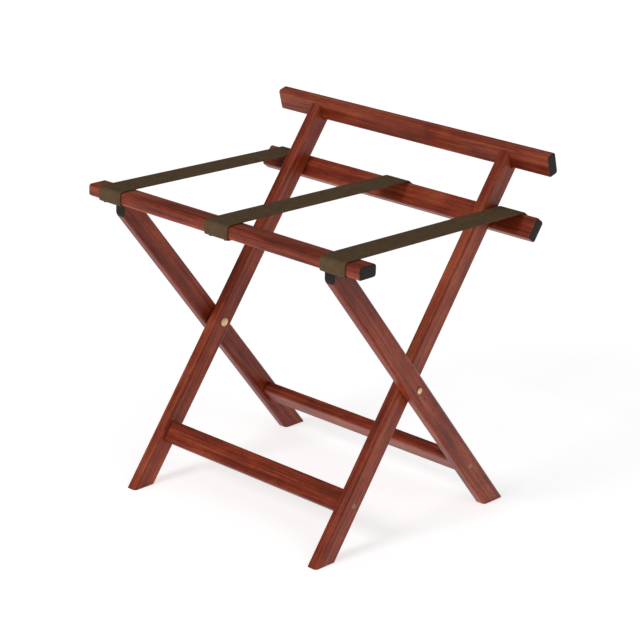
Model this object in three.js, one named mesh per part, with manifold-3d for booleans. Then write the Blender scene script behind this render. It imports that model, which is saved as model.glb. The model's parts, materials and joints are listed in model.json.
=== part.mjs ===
// Folding luggage rack: two crossed wooden frames on one pivot line, three webbing straps between
// their top rails, and a guard rail above the back strap rail.
//
// Millimetres. +X is the rack's right seen from the front, +Y the back and +Z up. The origin is on
// the floor, under the middle of the opened rack's footprint.
//
// The outer frame leans forwards from the pivot line and the inner frame leans backwards. Each
// leaning frame is a group whose own Z runs up its legs and whose own Y is square to its legs'
// narrow faces, so most boards and holes are laid out in plain leg coordinates.

import * as THREE from 'three';
import { mergeVertices } from 'three/addons/utils/BufferGeometryUtils.js';
import Module from 'manifold-3d';

const wasm = await Module();
wasm.setup();

// Overall stance.
const PIVOT_HEIGHT = 256;
const PLATFORM_HEIGHT = 522.4;
const OUTER_LEAN = THREE.MathUtils.degToRad(40.3);
const INNER_LEAN = THREE.MathUtils.degToRad(35.3);

// Boards.
const FRAME_WIDTH = 483.5;
const RAIL_END_PAST_STRAP = 27.45;
const RAIL_WIDTH = 38;
const RAIL_THICKNESS = 21;
const LEG_WIDTH = 38;
const LEG_THICKNESS = 21;
const LEG_GAP = 1.6;
const EDGE_RADIUS = 5;
const RAIL_END_RADIUS = 2;

// Distances from the pivot line along the legs.
const REAR_RAIL_REACH = 315;
const GUARD_REACH = 416.6;
const FRONT_STRETCHER_DROP = 209.6;
const REAR_STRETCHER_DROP = 225;

// The guard rail leans forwards, and the inner legs' tips stop short of its top edge.
const GUARD_LEAN = THREE.MathUtils.degToRad(17);
const GUARD_ABOVE_TIP = 7.5;

// The front rail's back face stands this far in front of the outer legs' back corners.
const FRONT_RAIL_SETBACK = 3;

// Straps.
const STRAP_WIDTH = 50.8;
const STRAP_THICKNESS = 2;
const STRAP_FRONT_TUCK = 9.5;
const STRAP_REAR_TUCK = 22;
const STRAP_LEG_CLEARANCE = 0.6;

// Pivot hardware: a barrel nut through both legs, closed by a bolt from inside.
const BARREL_RADIUS = 4;
const BARREL_HEAD_RADIUS = 5.5;
const BARREL_HEAD_HEIGHT = 2;
const BOLT_RADIUS = 2.7;
const BOLT_LENGTH = 26;
const BOLT_HEAD_RADIUS = 7.8;
const BOLT_HEAD_HEIGHT = 2.6;
const PIVOT_RUN_CLEARANCE = 0.1;
const WASHER_RADIUS = 11;

// Screws, plugs and tacks.
const SCREW_RADIUS = 2.2;
const SCREW_HEAD_RADIUS = 4;
const SCREW_HEAD_HEIGHT = 2.6;
const SCREW_POINT = 4;
const STRETCHER_SCREW_BITE = 30;
const FRONT_RAIL_SCREW_BITE = 25;
const REAR_RAIL_SCREW_BITE = 22;
const GUARD_SCREW_BITE = 15;
const SCREW_HEAD_INSET = 0.8;
const GUARD_SCREW_BELOW_MIDDLE = 8;
const REAR_RAIL_SCREW_SPACING = 17;
const PLUG_RADIUS = 5;
const PLUG_DEPTH = 5;
const TACK_RADIUS = 0.9;
const TACK_LENGTH = 11;
const TACK_HEAD_RADIUS = 3.4;
const TACK_HEAD_HEIGHT = 1.3;
const TACK_INSET_FROM_STRAP_EDGE = 9;

// Clearances between pieces that touch on the real rack.
const SEAT_GAP = 0.3;
const HOLE_CLEARANCE = 0.3;
const TACK_CLEARANCE = 0.15;

// Rounds are drawn with this many sides, and tools run this far past the face they cut.
const ROUND_SIDES = 24;
const SMALL_ROUND_SIDES = 12;
const TOOL_OVERRUN = 5;

const OUTER_LEG_X = (FRAME_WIDTH - LEG_THICKNESS) / 2;
const INNER_LEG_X = OUTER_LEG_X - LEG_THICKNESS - LEG_GAP;
const STRAP_X = INNER_LEG_X + LEG_THICKNESS / 2 + STRAP_LEG_CLEARANCE + STRAP_WIDTH / 2;
const RAIL_LENGTH = 2 * (STRAP_X + STRAP_WIDTH / 2 + RAIL_END_PAST_STRAP);
const SIDES = [['left', -1], ['right', 1]];
const UP = new THREE.Vector3(0, 1, 0);

const mahogany = new THREE.MeshStandardMaterial({ color: 0x6b2a1c, roughness: 0.35, metalness: 0 });
const plugWood = new THREE.MeshStandardMaterial({ color: 0x8a4a30, roughness: 0.4, metalness: 0 });
const webbing = new THREE.MeshStandardMaterial({ color: 0x453b2d, roughness: 0.9, metalness: 0 });
const brass = new THREE.MeshStandardMaterial({ color: 0xb08a4f, roughness: 0.35, metalness: 1 });
const steel = new THREE.MeshStandardMaterial({ color: 0x8d8f90, roughness: 0.4, metalness: 1 });
const blackTack = new THREE.MeshStandardMaterial({ color: 0x1b1b1a, roughness: 0.45, metalness: 0.8 });
const nylon = new THREE.MeshStandardMaterial({ color: 0xd9d4c8, roughness: 0.6, metalness: 0 });

// --- Points in the side view (y, z), measured from the pivot line -----------------------------

// Turns a point from leg coordinates of a frame that leans by `lean` into upright coordinates.
// A positive lean tips the frame's top forwards, towards -Y.
function upright(lean, y, z) {
  return new THREE.Vector2(y, z).rotateAround(new THREE.Vector2(), lean);
}

function inLeg(lean, y, z) {
  return upright(-lean, y, z);
}

// Where a leg's edge, at leg coordinate y, crosses the upright height z.
function alongLegAtHeight(lean, y, z) {
  return (z - y * Math.sin(lean)) / Math.cos(lean);
}

// Where the same edge crosses the upright plane at depth `depth`.
function alongLegAtDepth(lean, y, depth) {
  return (y * Math.cos(lean) - depth) / Math.sin(lean);
}

// --- Solids -----------------------------------------------------------------------------------

function toSolid(geometry) {
  const bare = geometry.clone();
  bare.deleteAttribute('normal');
  bare.deleteAttribute('uv');
  const merged = mergeVertices(bare);
  return new wasm.Manifold(new wasm.Mesh({
    numProp: 3,
    vertProperties: merged.attributes.position.array,
    triVerts: merged.index.array,
  }));
}

function toGeometry(solid) {
  const mesh = solid.getMesh();
  const geometry = new THREE.BufferGeometry();
  geometry.setAttribute('position', new THREE.BufferAttribute(mesh.vertProperties, 3));
  geometry.setIndex(new THREE.BufferAttribute(mesh.triVerts, 1));
  geometry.computeVertexNormals();
  return geometry;
}

function drill(geometry, tools) {
  let solid = toSolid(geometry);
  for (const tool of tools) {
    solid = solid.subtract(toSolid(tool));
  }
  return toGeometry(solid);
}

// Extrudes a (y, z) outline along X, centred on x = 0, with its two faces' edges rounded off.
function extrudeAcross(outline, width, radius) {
  const geometry = new THREE.ExtrudeGeometry(outline, {
    depth: width - 2 * radius,
    bevelEnabled: radius > 0,
    bevelThickness: radius,
    bevelSize: radius,
    bevelOffset: -radius,
    bevelSegments: 2,
    curveSegments: 3,
  });
  geometry.translate(0, 0, radius - width / 2);
  const yAxis = new THREE.Vector3(0, 1, 0);
  const zAxis = new THREE.Vector3(0, 0, 1);
  const xAxis = new THREE.Vector3(1, 0, 0);
  geometry.applyMatrix4(new THREE.Matrix4().makeBasis(yAxis, zAxis, xAxis));
  return geometry;
}

// A board along X, `depth` along Y and `height` along Z, with all its edges rounded.
function board(length, depth, height) {
  const y = depth / 2;
  const z = height / 2;
  const r = EDGE_RADIUS;
  const outline = new THREE.Shape();
  outline.absarc(y - r, z - r, r, 0, Math.PI / 2);
  outline.absarc(r - y, z - r, r, Math.PI / 2, Math.PI);
  outline.absarc(r - y, r - z, r, Math.PI, 1.5 * Math.PI);
  outline.absarc(y - r, r - z, r, 1.5 * Math.PI, 2 * Math.PI);
  return extrudeAcross(outline, length, RAIL_END_RADIUS);
}

// A round tool from one point to another.
function bore(from, to, radius, sides = ROUND_SIDES) {
  const direction = to.clone().sub(from);
  const geometry = new THREE.CylinderGeometry(radius, radius, direction.length(), sides);
  geometry.applyQuaternion(new THREE.Quaternion().setFromUnitVectors(UP, direction.clone().normalize()));
  geometry.translate(...from.clone().add(to).divideScalar(2).toArray());
  return geometry;
}

// The room for a screw whose head's top is at `top` and which points along `direction`, with the
// pocket above its head `pocketRadius` wide.
function screwHole(top, direction, length, pocketRadius) {
  const floor = top.clone().addScaledVector(direction, SCREW_HEAD_HEIGHT + HOLE_CLEARANCE);
  const mouth = top.clone().addScaledVector(direction, -PLUG_DEPTH - TOOL_OVERRUN);
  const end = top.clone().addScaledVector(direction, length + HOLE_CLEARANCE);
  return [
    bore(mouth, floor, pocketRadius),
    bore(top, end, SCREW_RADIUS + HOLE_CLEARANCE, SMALL_ROUND_SIDES),
  ];
}

// Turned pieces stand on the lathe axis with their top, or their head's top, at y = 0.
function turned(profile, sides = ROUND_SIDES) {
  return new THREE.LatheGeometry(profile.map(([radius, y]) => new THREE.Vector2(radius, y)), sides);
}

function screwGeometry(length) {
  const rim = SCREW_HEAD_HEIGHT / 3;
  return turned([
    [0, -length],
    [SCREW_RADIUS, SCREW_POINT - length],
    [SCREW_RADIUS, -SCREW_HEAD_HEIGHT],
    [SCREW_HEAD_RADIUS, -SCREW_HEAD_HEIGHT],
    [SCREW_HEAD_RADIUS, -rim],
    [SCREW_HEAD_RADIUS - rim, 0],
    [0, 0],
  ], SMALL_ROUND_SIDES);
}

function tackGeometry() {
  return turned([
    [0, -TACK_LENGTH],
    [TACK_RADIUS, 2 * TACK_RADIUS - TACK_LENGTH],
    [TACK_RADIUS, -TACK_HEAD_HEIGHT],
    [TACK_HEAD_RADIUS, -TACK_HEAD_HEIGHT],
    [TACK_HEAD_RADIUS * 0.6, -TACK_HEAD_HEIGHT / 4],
    [0, 0],
  ], SMALL_ROUND_SIDES);
}

function plugGeometry() {
  return turned([[0, -PLUG_DEPTH], [PLUG_RADIUS, -PLUG_DEPTH], [PLUG_RADIUS, 0], [0, 0]]);
}

// --- Placing ----------------------------------------------------------------------------------

function piece(parent, name, geometry, material, position = new THREE.Vector3()) {
  const mesh = new THREE.Mesh(geometry, material.clone());
  mesh.name = name;
  mesh.position.copy(position);
  parent.add(mesh);
  return mesh;
}

// Sets a turned piece with its top at `top`, pointing along `direction`.
function driven(parent, name, geometry, material, top, direction) {
  const mesh = piece(parent, name, geometry, material, top);
  mesh.quaternion.setFromUnitVectors(UP, direction.clone().negate());
  return mesh;
}

// --- Frames and the places that pieces share --------------------------------------------------

const rack = new THREE.Group();
const hung = new THREE.Group();
hung.position.z = PIVOT_HEIGHT;
rack.add(hung);
const outerFrame = new THREE.Group();
outerFrame.rotation.x = OUTER_LEAN;
const innerFrame = new THREE.Group();
innerFrame.rotation.x = -INNER_LEAN;
hung.add(outerFrame, innerFrame);

// The front rail lies flat on the outer legs' tops.
const frontRailTop = PLATFORM_HEIGHT - PIVOT_HEIGHT;
const frontRailBottom = frontRailTop - RAIL_THICKNESS;
const outerLegTop = frontRailBottom - SEAT_GAP;
const outerLegBackCorner = upright(
  OUTER_LEAN,
  LEG_WIDTH / 2,
  alongLegAtHeight(OUTER_LEAN, LEG_WIDTH / 2, outerLegTop),
);
const frontRailBack = outerLegBackCorner.x - FRONT_RAIL_SETBACK;
const frontRailFront = frontRailBack - RAIL_WIDTH;
const outerLegFront = frontRailFront + STRAP_FRONT_TUCK + SEAT_GAP;
const frontScrewY = (outerLegFront + frontRailBack) / 2;

// The rear rail is screwed to the inner legs' back faces, just above the strap line.
const rearRailY = LEG_WIDTH / 2 + SEAT_GAP + RAIL_THICKNESS / 2;
const rearRailBackY = rearRailY + RAIL_THICKNESS / 2;
const rearScrewOffsets = [-REAR_RAIL_SCREW_SPACING / 2, REAR_RAIL_SCREW_SPACING / 2];

// The guard rail sits in square notches in the inner legs' tops.
const legTip = upright(-INNER_LEAN, -LEG_WIDTH / 2, GUARD_REACH);
const guardUp = new THREE.Vector2(-Math.sin(GUARD_LEAN), Math.cos(GUARD_LEAN));
const guardBack = new THREE.Vector2(Math.cos(GUARD_LEAN), Math.sin(GUARD_LEAN));
const guardMiddle = legTip.clone()
  .addScaledVector(guardUp, GUARD_ABOVE_TIP - RAIL_WIDTH / 2)
  .addScaledVector(guardBack, SEAT_GAP + RAIL_THICKNESS / 2);

// --- Screws, each given by its head's top, its direction and its length -------------------------

function stretcherScrew(side, legX, drop) {
  return {
    top: new THREE.Vector3(side * (legX + LEG_THICKNESS / 2 - PLUG_DEPTH - SEAT_GAP), 0, -drop),
    direction: new THREE.Vector3(-side, 0, 0),
    length: LEG_THICKNESS - PLUG_DEPTH + STRETCHER_SCREW_BITE,
  };
}

function frontRailScrew(side) {
  return {
    top: new THREE.Vector3(side * OUTER_LEG_X, frontScrewY, frontRailTop - SCREW_HEAD_INSET),
    direction: new THREE.Vector3(0, 0, -1),
    length: RAIL_THICKNESS + FRONT_RAIL_SCREW_BITE,
  };
}

function rearRailScrew(side, offset) {
  const z = REAR_RAIL_REACH + offset;
  return {
    top: new THREE.Vector3(side * INNER_LEG_X, rearRailBackY - SCREW_HEAD_INSET, z),
    direction: new THREE.Vector3(0, -1, 0),
    length: RAIL_THICKNESS + REAR_RAIL_SCREW_BITE,
  };
}

// Laid out in upright coordinates, square to the guard rail's back face.
function guardScrew(side) {
  const point = guardMiddle.clone()
    .addScaledVector(guardUp, -GUARD_SCREW_BELOW_MIDDLE)
    .addScaledVector(guardBack, RAIL_THICKNESS / 2 - PLUG_DEPTH - SEAT_GAP);
  return {
    top: new THREE.Vector3(side * INNER_LEG_X, point.x, point.y),
    direction: new THREE.Vector3(0, -guardBack.x, -guardBack.y),
    length: RAIL_THICKNESS - PLUG_DEPTH + GUARD_SCREW_BITE,
  };
}

const SCREW_POCKET = SCREW_HEAD_RADIUS + HOLE_CLEARANCE;
const PLUG_POCKET = PLUG_RADIUS + HOLE_CLEARANCE;

// The same screw seen from a group turned by `turn` about X, with its middle moved to `centre`.
function seenFrom(screw, turn, centre = new THREE.Vector3()) {
  const axis = new THREE.Vector3(1, 0, 0);
  return {
    top: screw.top.clone().applyAxisAngle(axis, -turn).sub(centre),
    direction: screw.direction.clone().applyAxisAngle(axis, -turn),
    length: screw.length,
  };
}

function holeFor(screw, pocketRadius) {
  return screwHole(screw.top, screw.direction, screw.length, pocketRadius);
}

// --- Legs -------------------------------------------------------------------------------------

function outline(points) {
  return new THREE.Shape(points);
}

function outerLegOutline() {
  const y = LEG_WIDTH / 2;
  const corner = inLeg(OUTER_LEAN, outerLegFront, outerLegTop);
  return outline([
    new THREE.Vector2(-y, alongLegAtHeight(OUTER_LEAN, -y, -PIVOT_HEIGHT)),
    new THREE.Vector2(y, alongLegAtHeight(OUTER_LEAN, y, -PIVOT_HEIGHT)),
    new THREE.Vector2(y, alongLegAtHeight(OUTER_LEAN, y, outerLegTop)),
    corner,
    new THREE.Vector2(-y, alongLegAtDepth(OUTER_LEAN, -y, outerLegFront)),
  ]);
}

// The inner leg's top is notched to the guard rail's front and bottom faces.
function innerLegOutline() {
  const y = LEG_WIDTH / 2;
  const tip = new THREE.Vector2(-y, GUARD_REACH);
  const turn = INNER_LEAN + GUARD_LEAN;
  const down = new THREE.Vector2(Math.sin(turn), -Math.cos(turn));
  const back = new THREE.Vector2(Math.cos(turn), Math.sin(turn));
  const notch = tip.clone().addScaledVector(down, RAIL_WIDTH - GUARD_ABOVE_TIP + SEAT_GAP);
  return outline([
    new THREE.Vector2(-y, alongLegAtHeight(-INNER_LEAN, -y, -PIVOT_HEIGHT)),
    new THREE.Vector2(y, alongLegAtHeight(-INNER_LEAN, y, -PIVOT_HEIGHT)),
    notch.clone().addScaledVector(back, (y - notch.x) / back.x),
    notch,
    tip,
  ]);
}

// A leg is a board with rounded edges, cut to the leg's outline.
function legGeometry(shape) {
  const reach = Math.max(...shape.getPoints().map((point) => Math.abs(point.y)));
  const blank = board(2 * (reach + TOOL_OVERRUN), LEG_WIDTH, LEG_THICKNESS);
  blank.rotateY(Math.PI / 2);
  const cut = extrudeAcross(shape, LEG_THICKNESS + 2 * TOOL_OVERRUN, 0);
  return toGeometry(toSolid(blank).intersect(toSolid(cut)));
}

function pivotHole() {
  const half = LEG_THICKNESS / 2 + TOOL_OVERRUN;
  const from = new THREE.Vector3(-half, 0, 0);
  const to = new THREE.Vector3(half, 0, 0);
  return bore(from, to, BARREL_RADIUS + PIVOT_RUN_CLEARANCE);
}

function addOuterLeg(name, side) {
  const centre = new THREE.Vector3(side * OUTER_LEG_X, 0, 0);
  const stretcher = seenFrom(stretcherScrew(side, OUTER_LEG_X, REAR_STRETCHER_DROP), 0, centre);
  const rail = seenFrom(frontRailScrew(side), OUTER_LEAN, centre);
  const leg = legGeometry(outerLegOutline());
  const holes = [pivotHole(), ...holeFor(stretcher, PLUG_POCKET), holeFor(rail, SCREW_POCKET)[1]];
  piece(outerFrame, `outer_leg_${name}`, drill(leg, holes), mahogany, centre);
}

function addInnerLeg(name, side) {
  const centre = new THREE.Vector3(side * INNER_LEG_X, 0, 0);
  const stretcher = seenFrom(stretcherScrew(side, INNER_LEG_X, FRONT_STRETCHER_DROP), 0, centre);
  const guard = seenFrom(guardScrew(side), -INNER_LEAN, centre);
  const leg = legGeometry(innerLegOutline());
  const holes = [pivotHole(), ...holeFor(stretcher, PLUG_POCKET), holeFor(guard, SCREW_POCKET)[1]];
  for (const offset of rearScrewOffsets) {
    holes.push(holeFor(seenFrom(rearRailScrew(side, offset), 0, centre), SCREW_POCKET)[1]);
  }
  piece(innerFrame, `inner_leg_${name}`, drill(leg, holes), mahogany, centre);
}

// --- Rails and stretchers -----------------------------------------------------------------------

function addFrontRail() {
  const centre = new THREE.Vector3(
    0,
    frontRailFront + RAIL_WIDTH / 2,
    frontRailTop - RAIL_THICKNESS / 2,
  );
  const rail = board(RAIL_LENGTH, RAIL_WIDTH, RAIL_THICKNESS);
  const holes = SIDES.flatMap(([, side]) => (
    holeFor(seenFrom(frontRailScrew(side), 0, centre), SCREW_POCKET)
  ));
  const tacks = frontTacks().map((tack) => tackHole(tack, centre));
  piece(hung, 'front_rail', drill(rail, [...holes, ...tacks]), mahogany, centre);
}

function addRearRail() {
  const centre = new THREE.Vector3(0, rearRailY, REAR_RAIL_REACH);
  const rail = board(RAIL_LENGTH, RAIL_THICKNESS, RAIL_WIDTH);
  const holes = [];
  for (const [, side] of SIDES) {
    for (const offset of rearScrewOffsets) {
      holes.push(...holeFor(seenFrom(rearRailScrew(side, offset), 0, centre), SCREW_POCKET));
    }
  }
  const tacks = rearTacks().map((tack) => tackHole(tack, centre));
  piece(innerFrame, 'rear_rail', drill(rail, [...holes, ...tacks]), mahogany, centre);
}

function addGuardRail() {
  const centre = new THREE.Vector3(0, guardMiddle.x, guardMiddle.y);
  const rail = board(RAIL_LENGTH, RAIL_THICKNESS, RAIL_WIDTH);
  const turnedCentre = centre.clone().applyAxisAngle(new THREE.Vector3(1, 0, 0), -GUARD_LEAN);
  const holes = SIDES.flatMap(([, side]) => (
    holeFor(seenFrom(guardScrew(side), GUARD_LEAN, turnedCentre), PLUG_POCKET)
  ));
  const mesh = piece(hung, 'guard_rail', drill(rail, holes), mahogany, centre);
  mesh.rotation.x = GUARD_LEAN;
}

function addStretcher(frame, name, legX, drop) {
  const centre = new THREE.Vector3(0, 0, -drop);
  const length = 2 * (legX - LEG_THICKNESS / 2 - SEAT_GAP);
  const holes = SIDES.map(([, side]) => (
    holeFor(seenFrom(stretcherScrew(side, legX, drop), 0, centre), SCREW_POCKET)[1]
  ));
  const bar = board(length, RAIL_THICKNESS, RAIL_WIDTH);
  piece(frame, name, drill(bar, holes), mahogany, centre);
}

// --- Fasteners ----------------------------------------------------------------------------------

function addScrew(parent, name, screw) {
  driven(parent, name, screwGeometry(screw.length), steel, screw.top, screw.direction);
}

// A plug fills the pocket above a screw's head, flush with the board's face.
function addPlug(parent, name, screw) {
  const face = screw.top.clone().addScaledVector(screw.direction, -PLUG_DEPTH - SEAT_GAP);
  driven(parent, name, plugGeometry(), plugWood, face, screw.direction);
}

function addScrewsAndPlugs() {
  for (const [name, side] of SIDES) {
    const front = stretcherScrew(side, INNER_LEG_X, FRONT_STRETCHER_DROP);
    const rear = stretcherScrew(side, OUTER_LEG_X, REAR_STRETCHER_DROP);
    addScrew(innerFrame, `front_stretcher_screw_${name}`, front);
    addPlug(innerFrame, `front_stretcher_plug_${name}`, front);
    addScrew(outerFrame, `rear_stretcher_screw_${name}`, rear);
    addPlug(outerFrame, `rear_stretcher_plug_${name}`, rear);
    addScrew(hung, `front_rail_screw_${name}`, frontRailScrew(side));
    addScrew(hung, `guard_rail_screw_${name}`, guardScrew(side));
    addPlug(hung, `guard_rail_plug_${name}`, guardScrew(side));
    addScrew(innerFrame, `rear_rail_lower_screw_${name}`, rearRailScrew(side, rearScrewOffsets[0]));
    addScrew(innerFrame, `rear_rail_upper_screw_${name}`, rearRailScrew(side, rearScrewOffsets[1]));
  }
}

// The barrel nut's sleeve runs through the outer leg, the washer and most of the inner leg.
function barrelNutGeometry() {
  const sleeve = 2 * LEG_THICKNESS + LEG_GAP - SEAT_GAP;
  const boreRadius = BOLT_RADIUS + HOLE_CLEARANCE;
  const boreDepth = BOLT_LENGTH + HOLE_CLEARANCE;
  const under = -BARREL_HEAD_HEIGHT;
  return turned([
    [0, boreDepth - sleeve + under],
    [boreRadius, boreDepth - sleeve + under],
    [boreRadius, under - sleeve],
    [BARREL_RADIUS, under - sleeve],
    [BARREL_RADIUS, under],
    [BARREL_HEAD_RADIUS, under],
    [BARREL_HEAD_RADIUS, under / 2],
    [BARREL_HEAD_RADIUS * 0.7, under / 6],
    [0, 0],
  ]);
}

function boltGeometry() {
  const under = -BOLT_HEAD_HEIGHT;
  return turned([
    [0, under - BOLT_LENGTH],
    [BOLT_RADIUS, under - BOLT_LENGTH],
    [BOLT_RADIUS, under],
    [BOLT_HEAD_RADIUS, under],
    [BOLT_HEAD_RADIUS, under * 0.6],
    [BOLT_HEAD_RADIUS * 0.75, under * 0.2],
    [0, 0],
  ]);
}

function washerGeometry() {
  const half = LEG_GAP / 2 - SEAT_GAP;
  const inside = BARREL_RADIUS + HOLE_CLEARANCE;
  return turned([
    [inside, -half],
    [WASHER_RADIUS, -half],
    [WASHER_RADIUS, half],
    [inside, half],
    [inside, -half],
  ]);
}

function addPivotHardware(name, side) {
  const inwards = new THREE.Vector3(-side, 0, 0);
  const outwards = new THREE.Vector3(side, 0, 0);
  const outside = OUTER_LEG_X + LEG_THICKNESS / 2 + SEAT_GAP + BARREL_HEAD_HEIGHT;
  const inside = INNER_LEG_X - LEG_THICKNESS / 2 - SEAT_GAP - BOLT_HEAD_HEIGHT;
  const middle = OUTER_LEG_X - LEG_THICKNESS / 2 - LEG_GAP / 2;
  const at = (x) => new THREE.Vector3(side * x, 0, 0);
  driven(outerFrame, `pivot_barrel_nut_${name}`, barrelNutGeometry(), brass, at(outside), inwards);
  driven(outerFrame, `pivot_bolt_${name}`, boltGeometry(), brass, at(inside), outwards);
  driven(outerFrame, `pivot_washer_${name}`, washerGeometry(), nylon, at(middle), inwards);
}

// --- Straps -------------------------------------------------------------------------------------

const STRAPS = [['left', -STRAP_X], ['middle', 0], ['right', STRAP_X]];
const tackOffset = STRAP_WIDTH / 2 - TACK_INSET_FROM_STRAP_EDGE;
const strapOutside = STRAP_THICKNESS + SEAT_GAP;

function tacksAcross(makeTack) {
  return STRAPS.flatMap(([strap, x]) => [['left', -1], ['right', 1]].map(([hand, side]) => (
    { strap, hand, ...makeTack(x + side * tackOffset) }
  )));
}

// Two tacks hold each strap's front end up under the front rail.
function frontTacks() {
  const top = frontRailBottom - strapOutside - SEAT_GAP - TACK_HEAD_HEIGHT;
  const y = frontRailFront + STRAP_FRONT_TUCK / 2;
  return tacksAcross((x) => ({
    top: new THREE.Vector3(x, y, top),
    direction: new THREE.Vector3(0, 0, 1),
  }));
}

// Two more hold its rear end against the rear rail's back face.
function rearTacks() {
  const y = rearRailBackY + strapOutside + SEAT_GAP + TACK_HEAD_HEIGHT;
  const z = REAR_RAIL_REACH + RAIL_WIDTH / 2 - STRAP_REAR_TUCK / 2;
  return tacksAcross((x) => ({
    top: new THREE.Vector3(x, y, z),
    direction: new THREE.Vector3(0, -1, 0),
  }));
}

function tackHole(tack, centre) {
  const from = tack.top.clone().sub(centre);
  const to = from.clone().addScaledVector(tack.direction, TACK_LENGTH + HOLE_CLEARANCE);
  return bore(from, to, TACK_RADIUS + TACK_CLEARANCE, SMALL_ROUND_SIDES);
}

// Moves an open path of (y, z) points sideways, to the left of its travel, with mitred corners.
function offsetPath(points, distance) {
  const normals = points.slice(1).map((point, i) => {
    const along = point.clone().sub(points[i]).normalize();
    return new THREE.Vector2(-along.y, along.x);
  });
  return points.map((point, i) => {
    const before = normals[Math.max(i - 1, 0)];
    const after = normals[Math.min(i, normals.length - 1)];
    const mitre = before.clone().add(after).divideScalar(1 + before.dot(after));
    return point.clone().addScaledVector(mitre, distance);
  });
}

// The wood that a strap lies on, from under the front rail, over its top, across to the rear
// rail's top edge and down its back face.
function strapSeat() {
  const rearTop = REAR_RAIL_REACH + RAIL_WIDTH / 2;
  const rearFrontY = rearRailBackY - RAIL_THICKNESS;
  return [
    new THREE.Vector2(frontRailFront + STRAP_FRONT_TUCK, frontRailBottom),
    new THREE.Vector2(frontRailFront, frontRailBottom),
    new THREE.Vector2(frontRailFront, frontRailTop),
    new THREE.Vector2(frontRailBack, frontRailTop),
    upright(-INNER_LEAN, rearFrontY, rearTop),
    upright(-INNER_LEAN, rearRailBackY, rearTop),
    upright(-INNER_LEAN, rearRailBackY, rearTop - STRAP_REAR_TUCK),
  ];
}

function addStrap(name, x) {
  const centre = new THREE.Vector3(x, 0, 0);
  const seat = strapSeat();
  const under = offsetPath(seat, SEAT_GAP);
  const over = offsetPath(seat, strapOutside);
  const band = extrudeAcross(outline([...under, ...over.reverse()]), STRAP_WIDTH, 0);
  const front = frontTacks().filter((tack) => tack.strap === name);
  const rear = rearTacks()
    .filter((tack) => tack.strap === name)
    .map((tack) => seenFrom(tack, INNER_LEAN));
  const holes = [...front, ...rear].map((tack) => tackHole(tack, centre));
  piece(hung, `strap_${name}`, drill(band, holes), webbing, centre);
}

function addTacks() {
  for (const tack of frontTacks()) {
    const name = `strap_${tack.strap}_front_tack_${tack.hand}`;
    driven(hung, name, tackGeometry(), blackTack, tack.top, tack.direction);
  }
  for (const tack of rearTacks()) {
    const name = `strap_${tack.strap}_rear_tack_${tack.hand}`;
    driven(innerFrame, name, tackGeometry(), blackTack, tack.top, tack.direction);
  }
}

// --- Assembly -----------------------------------------------------------------------------------

for (const [name, side] of SIDES) {
  addOuterLeg(name, side);
  addInnerLeg(name, side);
  addPivotHardware(name, side);
}
addFrontRail();
addRearRail();
addGuardRail();
addStretcher(innerFrame, 'front_stretcher', INNER_LEG_X, FRONT_STRETCHER_DROP);
addStretcher(outerFrame, 'rear_stretcher', OUTER_LEG_X, REAR_STRETCHER_DROP);
addScrewsAndPlugs();
for (const [name, x] of STRAPS) {
  addStrap(name, x);
}
addTacks();

// The footprint's middle goes over the origin.
rack.updateMatrixWorld(true);
const footprint = new THREE.Box3().setFromObject(rack, true).getCenter(new THREE.Vector3());
rack.position.y = -footprint.y;

export default rack;
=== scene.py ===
"""Folding luggage rack: varnished mahogany boards, brown webbing straps and brass pivots."""

import json
import math

import bmesh
import bpy
import numpy as np
from bpy.props import FloatProperty, FloatVectorProperty, IntProperty, PointerProperty
from mathutils import Matrix, Vector
from mathutils.geometry import convex_hull_2d


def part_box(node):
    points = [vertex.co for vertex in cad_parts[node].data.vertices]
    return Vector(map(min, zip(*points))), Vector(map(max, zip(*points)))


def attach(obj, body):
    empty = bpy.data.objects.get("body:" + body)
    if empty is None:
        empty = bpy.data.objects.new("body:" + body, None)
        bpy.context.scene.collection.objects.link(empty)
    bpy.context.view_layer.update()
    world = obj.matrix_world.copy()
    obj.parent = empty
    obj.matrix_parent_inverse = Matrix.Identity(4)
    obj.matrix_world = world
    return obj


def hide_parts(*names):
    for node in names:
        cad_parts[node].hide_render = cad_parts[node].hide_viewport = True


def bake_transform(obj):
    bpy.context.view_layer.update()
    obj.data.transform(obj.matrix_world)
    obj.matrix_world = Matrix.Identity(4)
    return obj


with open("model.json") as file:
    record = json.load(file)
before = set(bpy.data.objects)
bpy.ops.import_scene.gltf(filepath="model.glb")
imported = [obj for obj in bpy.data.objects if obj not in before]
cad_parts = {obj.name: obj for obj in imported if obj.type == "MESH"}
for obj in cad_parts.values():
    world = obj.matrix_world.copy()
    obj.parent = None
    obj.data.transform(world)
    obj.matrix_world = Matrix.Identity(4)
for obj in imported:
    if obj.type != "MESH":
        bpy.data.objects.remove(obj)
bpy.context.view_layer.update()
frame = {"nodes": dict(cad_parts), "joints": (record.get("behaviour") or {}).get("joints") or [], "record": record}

bl_info = {
    "name": "Folding luggage rack",
    "version": (1, 0, 0),
    "blender": (4, 5, 0),
    "location": "View3D > Sidebar > Luggage rack",
    "description": "Builds the boards, straps and hardware of a folding luggage rack",
    "category": "Object",
}

BODIES = frame["record"]["behaviour"]["bodies"]
PIVOT = Vector(frame["joints"][0]["pos_m"])
SIDES = ("left", "right")
STRAPS = ("left", "middle", "right")
LEGS = ["outer_leg_left", "outer_leg_right", "inner_leg_left", "inner_leg_right"]
RAILS = ["front_rail", "rear_rail", "guard_rail", "front_stretcher", "rear_stretcher"]

# Turned pieces are sharp only where their faces meet at more than this angle.
TURNED_SHARP = math.radians(40)
# A face shows end grain if its normal leans this close to the grain's direction, as a cosine.
END_GRAIN_FACING = 0.55
# Each board takes its grain from a place this much further on in the pattern, in metres.
GRAIN_STEP = Vector((1.7, 0.31, 0.23))


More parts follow.
